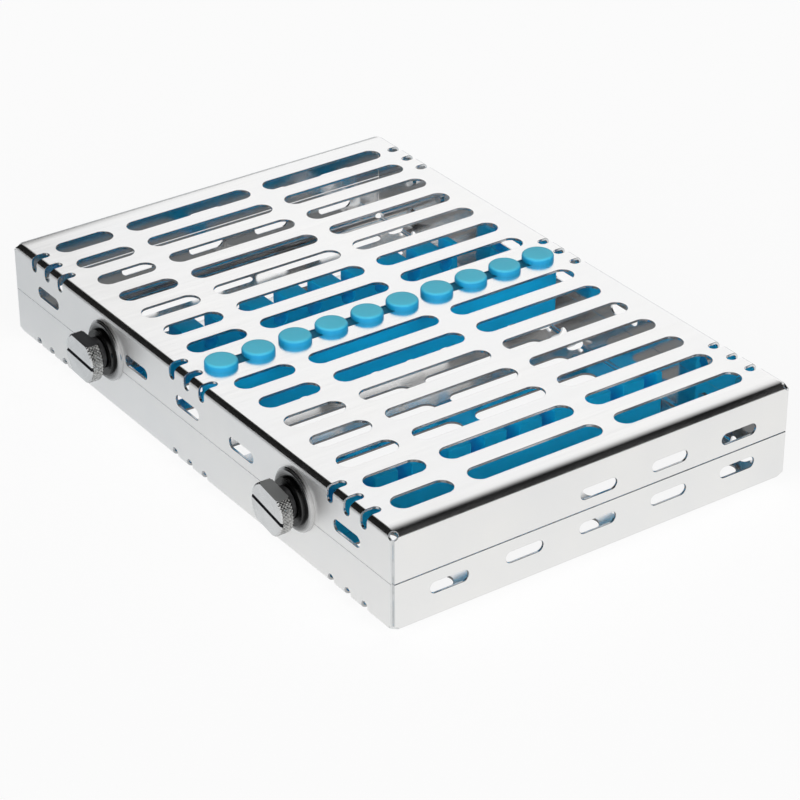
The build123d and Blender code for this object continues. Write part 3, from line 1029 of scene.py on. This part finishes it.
def rivet_row(side, height, row_tree, steel):
    """The four rivets of one tray's hinge leaves, from one shape repeated."""
    low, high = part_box(f"hinge_rivets_{side}")
    first_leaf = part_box("hinge_leaf_lid_left")
    second_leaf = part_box("hinge_leaf_lid_right")
    head_radius = 2.1 * MM
    spacing = 16.0 * MM
    dome = 0.7 * MM
    profile = [(0.0, high.y)]
    for i in range(1, 6):
        angle = math.pi / 2 * i / 5
        profile.append((head_radius * math.sin(angle), high.y - dome * (1 - math.cos(angle))))
    inner = low.y + dome
    profile += [(1.2 * MM, high.y - dome), (1.2 * MM, inner), (head_radius, inner),
                (head_radius, low.y + 0.15 * MM), (head_radius - 0.15 * MM, low.y),
                (0.0, low.y)]
    rows = []
    for leaf in (first_leaf, second_leaf):
        centre = (leaf[0].x + leaf[1].x) / 2

        def build(shape):
            lathed(shape, profile, 28, Vector((centre, 0, height)))

        name = f"rivet_{side}_{len(rows)}"
        row = object_from(name, mesh_from(name, build))
        rows.append(run_tree(row, row_tree, {
            "Count": 2,
            "First place": (-spacing / 2, 0.0, 0.0),
            "Step": (spacing, 0.0, 0.0),
            "Finish": steel,
        }))
    rivets = joined(f"leaf_rivets_{side}", rows)
    smooth_by_angle(rivets.data, 40.0)
    return dress(rivets, side, "hinge_steel", [steel], f"hinge_rivets_{side}")


def hinge_leaves(steel):
    """The four leaves, with broken edges."""
    for side in ("left", "right"):
        for tray in ("lid", "base"):
            node_name = f"hinge_leaf_{tray}_{side}"
            leaf = softened_copy(f"leaf_{tray}_{side}", node_name, 0.15 * MM)
            dress(leaf, tray, "hinge_steel", [steel], node_name)


# ================================================================ materials
def start_material(name, colour, metallic, roughness):
    """A material with its shader, and the object's own coordinates."""
    material = bpy.data.materials.new(name)
    material.use_nodes = True
    tree = material.node_tree
    shader = tree.nodes["Principled BSDF"]
    shader.inputs["Base Color"].default_value = (*colour, 1.0)
    shader.inputs["Metallic"].default_value = metallic
    shader.inputs["Roughness"].default_value = roughness
    place = tree.nodes.new("ShaderNodeTexCoord").outputs["Object"]
    return material, tree, shader, place


def noise(tree, place, scale, detail, stretch=(1.0, 1.0, 1.0), roughness=0.5):
    """Noise over the object's coordinates, stretched along some of them."""
    mapping = node(tree, "ShaderNodeMapping", {"Vector": place, "Scale": stretch})
    made = node(tree, "ShaderNodeTexNoise",
                {"Vector": mapping.outputs[0], "Scale": scale, "Detail": detail,
                 "Roughness": roughness})
    return made.outputs["Fac"]


def ramp(tree, value, stops):
    """Colours by value."""
    made = node(tree, "ShaderNodeValToRGB", {"Fac": value})
    band = made.color_ramp
    while len(band.elements) < len(stops):
        band.elements.new(0.5)
    for element, (place, colour) in zip(band.elements, stops):
        element.position = place
        element.color = (*colour, 1.0) if isinstance(colour, tuple) else (colour,) * 3 + (1.0,)
    return made.outputs["Color"]


def bumps(tree, shader, height, distance, strength):
    """Fine relief on the shader's normal."""
    made = node(tree, "ShaderNodeBump",
                {"Height": height, "Distance": distance, "Strength": strength})
    tree.links.new(made.outputs[0], shader.inputs["Normal"])
    return made


def polished_sheet():
    """Mirror-polished stainless sheet with faint polishing lines and slight waviness."""
    material, tree, shader, place = start_material("polished_sheet", (0.86, 0.86, 0.855), 1.0,
                                                   0.07)
    lines = noise(tree, place, 900.0, 2.0, (1.0, 0.04, 0.04))
    smears = noise(tree, place, 38.0, 3.0)
    blend = maths(tree, "MULTIPLY", lines, smears)
    parts = node(tree, "ShaderNodeSeparateXYZ", {0: place})
    off_y = maths(tree, "ABSOLUTE", maths(tree, "SUBTRACT", parts.outputs[1], tray_middle_y))
    outside = maths(tree, "GREATER_THAN", off_y, tray_width / 2 - 0.3 * MM)
    polish = ramp(tree, blend, ((0.12, 0.17), (0.45, 0.24)))
    brushed = maths(tree, "ADD", polish, maths(tree, "MULTIPLY", outside, 0.3))
    in_y = maths(tree, "SUBTRACT", tray_width / 2, off_y)
    in_x = maths(tree, "SUBTRACT", tray_length / 2, maths(tree, "ABSOLUTE", parts.outputs[0]))
    in_z = maths(tree, "MINIMUM", maths(tree, "SUBTRACT", lid_top, parts.outputs[2]),
                 maths(tree, "SUBTRACT", parts.outputs[2], base_under))
    depth = maths(tree, "MINIMUM", maths(tree, "MINIMUM", in_x, in_y), in_z)
    inner = maths(tree, "GREATER_THAN", depth, 0.7 * MM)
    brushed = maths(tree, "MULTIPLY", brushed,
                    maths(tree, "SUBTRACT", 1.0, maths(tree, "MULTIPLY", inner, 0.45)))
    tree.links.new(brushed, shader.inputs["Roughness"])
    tone = ramp(tree, smears, ((0.3, (0.92, 0.922, 0.925)), (0.7, (0.965, 0.96, 0.952))))
    tree.links.new(tone, shader.inputs["Base Color"])
    waves = noise(tree, place, 22.0, 1.0)
    bumps(tree, shader, waves, 0.05 * MM, 0.25)
    return material


def punched_edge():
    """Cut edge of the sheet: a little duller, with lines through the thickness."""
    material, tree, shader, place = start_material("punched_edge", (0.82, 0.83, 0.84), 1.0, 0.2)
    lines = noise(tree, place, 700.0, 2.0, (1.0, 1.0, 0.15))
    tree.links.new(ramp(tree, lines, ((0.3, 0.17), (0.7, 0.25))), shader.inputs["Roughness"])
    bumps(tree, shader, lines, 0.01 * MM, 0.08)
    return material


def blue_silicone():
    """Moulded silicone: soft sheen, fine matt grain, slight random tone and painted light by
    height.
    """
    material, tree, shader, place = start_material("blue_silicone", (0.01, 0.36, 0.66), 0.0, 0.5)
    clouds = noise(tree, place, 60.0, 3.0)
    parts = node(tree, "ShaderNodeSeparateXYZ", {0: place})
    above = maths(tree, "SUBTRACT", parts.outputs[2], lid_top - stud_height)
    rise = maths(tree, "DIVIDE", above, 2 * stud_height)
    # Painted light: bright blue inside, painted shade on the webs, paler painted highlight on
    # the tops.
    painted_light_by_height = ramp(tree, rise, ((0.28, (0.001, 0.55, 1.0)), (0.32, (0.004, 0.16, 0.24)),
                                  (0.5, (0.001, 0.22, 0.42)), (0.85, (0.002, 0.27, 0.5)),
                                  (0.98, (0.10, 0.62, 0.82))))
    varied = ramp(tree, clouds, ((0.3, 0.92), (0.7, 1.0)))
    tone = node(tree, "ShaderNodeVectorMath", {0: painted_light_by_height, 1: varied}, operation="MULTIPLY")
    tree.links.new(tone.outputs[0], shader.inputs["Base Color"])
    grain = noise(tree, place, 2600.0, 2.0)
    tree.links.new(ramp(tree, grain, ((0.3, 0.42), (0.7, 0.6))), shader.inputs["Roughness"])
    shader.inputs["Subsurface Weight"].default_value = 0.15
    shader.inputs["Subsurface Radius"].default_value = (0.4, 0.8, 1.0)
    shader.inputs["Subsurface Scale"].default_value = 1.2 * MM
    shader.inputs["Specular IOR Level"].default_value = 0.3
    shader.inputs["Sheen Weight"].default_value = 0.06
    shader.inputs["Sheen Roughness"].default_value = 0.4
    bumps(tree, shader, grain, 0.02 * MM, 0.35)
    return material


def turned_steel(name, colour, low, high, centre, shades=((0.0, 1.0), (1.0, 1.0))):
    """Turned steel with fine rings round an axis along Y, and painted shade by the reach in
    centimetres.
    """
    material, tree, shader, place = start_material(name, colour, 1.0, (low + high) / 2)
    moved = node(tree, "ShaderNodeMapping",
                 {"Vector": place, "Location": (-centre.x, 0.0, -centre.z)})
    parts = node(tree, "ShaderNodeSeparateXYZ", {0: moved.outputs[0]})
    square = maths(tree, "ADD", maths(tree, "MULTIPLY", parts.outputs[0], parts.outputs[0]),
                   maths(tree, "MULTIPLY", parts.outputs[2], parts.outputs[2]))
    reach = maths(tree, "SQRT", square)
    spot = node(tree, "ShaderNodeCombineXYZ", {"X": reach, "Y": parts.outputs[1]})
    rings = node(tree, "ShaderNodeTexNoise",
                 {"Vector": spot.outputs[0], "Scale": 5200.0, "Detail": 1.0}).outputs["Fac"]
    tree.links.new(ramp(tree, rings, ((0.3, low), (0.7, high))), shader.inputs["Roughness"])
    shade = tuple(0.9 * part for part in colour)
    tone = ramp(tree, noise(tree, place, 240.0, 3.0), ((0.3, shade), (0.7, colour)))
    # Painted shade and painted highlight: the base colour is scaled by the shades ramp over the
    # reach.
    painted_shade_by_reach = ramp(tree, maths(tree, "MULTIPLY", reach, 100.0), shades)
    tinted = node(tree, "ShaderNodeVectorMath", {0: tone, 1: painted_shade_by_reach}, operation="MULTIPLY")
    tree.links.new(tinted.outputs[0], shader.inputs["Base Color"])
    bumps(tree, shader, rings, 0.01 * MM, 0.4)
    return material


def knurled_steel():
    """Knurled steel: brighter and duller spots at random, in tone and roughness."""
    material, tree, shader, place = start_material("knurled_steel", (0.4, 0.4, 0.39), 1.0, 0.3)
    wear = noise(tree, place, 1400.0, 3.0)
    tree.links.new(ramp(tree, wear, ((0.3, 0.2), (0.7, 0.42))), shader.inputs["Roughness"])
    tone = ramp(tree, wear, ((0.35, (0.28, 0.28, 0.275)), (0.65, (0.68, 0.68, 0.67))))
    tree.links.new(tone, shader.inputs["Base Color"])
    bumps(tree, shader, wear, 0.02 * MM, 0.3)
    return material


def dark_recess(name, colour):
    """Near-black colour for the groove, and painted shade on the neck and the knob's back."""
    material, tree, shader, place = start_material(name, colour, 0.0, 0.5)
    shader.inputs["Specular IOR Level"].default_value = 0.25
    grime = noise(tree, place, 900.0, 4.0)
    paler = tuple(min(1.0, 2.2 * part + 0.01) for part in colour)
    tree.links.new(ramp(tree, grime, ((0.4, colour), (0.8, paler))), shader.inputs["Base Color"])
    tree.links.new(ramp(tree, grime, ((0.3, 0.35), (0.7, 0.6))), shader.inputs["Roughness"])
    bumps(tree, shader, grime, 0.02 * MM, 0.2)
    return material


def satin_steel(name, colour, low, high):
    """Small stamped and milled steel pieces: satin, with a fine grain."""
    material, tree, shader, place = start_material(name, colour, 1.0, (low + high) / 2)
    grain = noise(tree, place, 1100.0, 3.0, (0.12, 1.0, 1.0))
    tree.links.new(ramp(tree, grain, ((0.3, low), (0.7, high))), shader.inputs["Roughness"])
    shade = tuple(0.88 * part for part in colour)
    tone = ramp(tree, noise(tree, place, 130.0, 3.0), ((0.3, shade), (0.7, colour)))
    tree.links.new(tone, shader.inputs["Base Color"])
    bumps(tree, shader, grain, 0.015 * MM, 0.3)
    return material


# ================================================================ stage
def pale_floor():
    """Plain white floor that keeps the object's soft shadow, with painted light where steel
    mirrors it.
    """
    mesh = bpy.data.meshes.new("floor")
    reach = 3.0
    corners = [(-reach, -reach, 0.0), (reach, -reach, 0.0), (reach, reach, 0.0),
               (-reach, reach, 0.0)]
    mesh.from_pydata(corners, [], [(0, 1, 2, 3)])
    floor = object_from("floor", mesh)
    material = bpy.data.materials.new("white_table")
    material.use_nodes = True
    tree = material.node_tree
    tree.nodes.clear()
    card = node(tree, "ShaderNodeBsdfDiffuse", {"Color": (0.97, 0.97, 0.97, 1.0)})
    white = node(tree, "ShaderNodeEmission", {"Color": (1.0, 1.0, 1.0, 1.0), "Strength": 1.0})
    place = node(tree, "ShaderNodeTexCoord").outputs["Object"]
    parts = node(tree, "ShaderNodeSeparateXYZ", {0: place})
    share_x = maths(tree, "ADD", maths(tree, "MULTIPLY", parts.outputs[0], 2.0), 0.5)
    # Painted light for mirrors: the floor's glow grows brighter along X.
    tone = ramp(tree, share_x, ((0.2, (0.645, 0.672, 0.69)), (0.5, (0.735, 0.753, 0.763)),
                                (0.72, (0.862, 0.862, 0.853))))
    # Painted shadow for mirrors: the glow drops under the cassette's footprint.
    past_x = maths(tree, "SUBTRACT", maths(tree, "ABSOLUTE", parts.outputs[0]), lid_high.x)
    off_y = maths(tree, "ABSOLUTE", maths(tree, "SUBTRACT", parts.outputs[1], tray_middle_y))
    past_y = maths(tree, "SUBTRACT", off_y, tray_width / 2)
    past = maths(tree, "MULTIPLY", maths(tree, "MAXIMUM", past_x, past_y), 100.0)
    painted_shadow_under = ramp(tree, maths(tree, "ADD", past, 1.0), ((0.4, 0.22), (1.0, 1.0)))
    shaded = node(tree, "ShaderNodeVectorMath", {0: tone, 1: painted_shadow_under}, operation="MULTIPLY")
    mirrored = node(tree, "ShaderNodeEmission", {"Color": shaded.outputs[0], "Strength": 1.0})
    path = node(tree, "ShaderNodeLightPath")
    glow = node(tree, "ShaderNodeMixShader", {0: path.outputs["Is Glossy Ray"],
                                              1: white.outputs[0], 2: mirrored.outputs[0]})
    seen = maths(tree, "MAXIMUM", path.outputs["Is Camera Ray"], path.outputs["Is Glossy Ray"])
    share = maths(tree, "MULTIPLY", seen, 0.9)
    mixed = node(tree, "ShaderNodeMixShader",
                 {0: share, 1: card.outputs[0], 2: glow.outputs[0]})
    node(tree, "ShaderNodeOutputMaterial", {"Surface": mixed.outputs[0]})
    mesh.materials.append(material)


def studio_world():
    """White studio: even white light, and for mirrors a white wall with dark surrounds."""
    world = bpy.data.worlds.new("studio")
    bpy.context.scene.world = world
    world.use_nodes = True
    tree = world.node_tree
    tree.nodes.clear()
    direction = node(tree, "ShaderNodeTexCoord").outputs["Generated"]
    parts = node(tree, "ShaderNodeSeparateXYZ", {0: direction})
    turn = maths(tree, "ARCTAN2", parts.outputs[1], parts.outputs[0])
    share = maths(tree, "ADD", maths(tree, "DIVIDE", turn, 2 * math.pi), 0.5)
    around = ramp(tree, share, ((0.26, 0.0), (0.31, 0.85), (0.45, 0.85), (0.50, 0.0),
                                (0.79, 0.0), (0.82, 1.0), (0.925, 1.0), (0.94, 0.0)))
    upward = ramp(tree, parts.outputs[2], ((0.0, 1.0), (0.57, 1.0), (0.80, 0.0)))
    panel = maths(tree, "MULTIPLY", around, upward)
    room = maths(tree, "ADD", maths(tree, "MULTIPLY", panel, 0.992), 0.008)
    front = ramp(tree, share, ((0.15, 0.0), (0.25, 1.0), (0.55, 1.0), (0.65, 0.0)))
    low = ramp(tree, parts.outputs[2], ((0.0, 1.0), (0.5, 1.0), (0.8, 0.0)))
    softbox = maths(tree, "MULTIPLY", maths(tree, "MULTIPLY", front, low), 3.2)
    lit = maths(tree, "ADD", softbox, 0.12)
    path = node(tree, "ShaderNodeLightPath")
    mirrored = maths(tree, "LESS_THAN", path.outputs["Diffuse Depth"], 0.5)
    first = maths(tree, "MULTIPLY", path.outputs["Is Glossy Ray"], mirrored)
    reflected = maths(tree, "MULTIPLY", first, room)
    others = maths(tree, "MULTIPLY", maths(tree, "SUBTRACT", 1.0, first), lit)
    level = maths(tree, "MAXIMUM", maths(tree, "ADD", reflected, others),
                  path.outputs["Is Camera Ray"])
    light = node(tree, "ShaderNodeBackground", {"Color": level, "Strength": 1.0})
    node(tree, "ShaderNodeOutputWorld", {"Surface": light.outputs[0]})


def photo_camera():
    """Camera at the photograph's angle."""
    data = bpy.data.cameras.new("camera")
    data.lens = 130.925
    data.sensor_width = 36.0
    data.clip_end = 20.0
    camera = bpy.data.objects.new("camera", data)
    camera.location = (0.6299, -0.4327, 0.4481)
    camera.rotation_euler = (math.radians(59.781), math.radians(0.146), math.radians(54.918))
    bpy.context.scene.collection.objects.link(camera)
    bpy.context.scene.camera = camera


# ================================================================ the cassette
def dress_trays(sheet_finish, edge_finish):
    """Both trays from one tree."""
    tree = perforated_blank_tree()
    finishes = (sheet_finish, edge_finish)
    lid = lid_tray(tree, finishes)
    base = base_tray(tree, finishes)
    for tray, body, name in ((lid, "lid", "lid_shell"), (base, "base", "base_shell")):
        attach(tray, body)
        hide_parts(name)


def dress_rails(row_tree, silicone):
    """The three silicone rails."""
    for side, row in zip(("left", "right"), base_rail_rows):
        rail = base_rail(side, row * row_pitch, row_tree, silicone)
        dress(rail, "base", "silicone", [silicone], f"base_rail_{side}")
    dress(lid_rail(row_tree, silicone), "lid", "silicone", [silicone], "lid_rail")


def dress_latches():
    """Knobs and bushes, and the finish of the pieces inside."""
    knurl = knurled_steel()
    groove = dark_recess("groove_black", (0.010, 0.011, 0.013))
    # Painted shade: the neck and the knob's back are black for the shaded gap before the bush.
    neck = dark_recess("neck_painted_shade", (0.03, 0.03, 0.031))
    # Painted reflection: left flats near-black, right flats mid-grey, for how light falls at
    # each turn.
    painted_flat_tones = {"left": (0.035, 0.037, 0.04), "right": (0.42, 0.43, 0.43)}
    inner = satin_steel("inner_latch_steel", (0.7, 0.7, 0.71), 0.22, 0.38)
    spring = satin_steel("spring_steel", (0.5, 0.5, 0.52), 0.25, 0.4)
    for side, axis in latch_axes.items():
        face = turned_steel(f"turned_face_{side}", (0.78, 0.785, 0.79), 0.12, 0.28, axis)
        flat = satin_steel(f"milled_flat_{side}", painted_flat_tones[side], 0.3, 0.42)
        latch_knob(side, [face, knurl, groove, neck, flat])
        # Painted shade on collar and flange face, partly the knob's reflection; painted
        # highlight on the rim.
        bush = turned_steel(f"turned_bush_{side}", (0.8, 0.8, 0.8), 0.14, 0.3, axis,
                            ((0.70, 0.06), (0.76, 0.12), (0.86, 0.38), (0.93, 0.8)))
        latch_bush(side, [bush])
        for name in ("nut", "cam", "screw", "catch"):
            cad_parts[f"latch_{name}_{side}"].material_slots[0].material = inner
        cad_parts[f"latch_spring_{side}"].material_slots[0].material = spring


def dress_hinges(row_tree):
    """Leaves, pins and rivets."""
    steel = satin_steel("hinge_steel", (0.74, 0.75, 0.76), 0.12, 0.26)
    hinge_leaves(steel)
    lid_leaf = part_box("hinge_rivets_lid")
    base_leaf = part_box("hinge_rivets_base")
    rivet_row("lid", (lid_leaf[0].z + lid_leaf[1].z) / 2, row_tree, steel)
    rivet_row("base", (base_leaf[0].z + base_leaf[1].z) / 2, row_tree, steel)
    for side in ("left", "right"):
        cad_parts[f"hinge_pin_{side}"].material_slots[0].material = steel


def build_cassette():
    """Every piece of the cassette."""
    row_tree = repeated_row_tree()
    dress_trays(polished_sheet(), punched_edge())
    dress_rails(row_tree, blue_silicone())
    dress_latches()
    dress_hinges(row_tree)


build_cassette()
pale_floor()
studio_world()
photo_camera()
bpy.context.scene.view_settings.view_transform = "Standard"
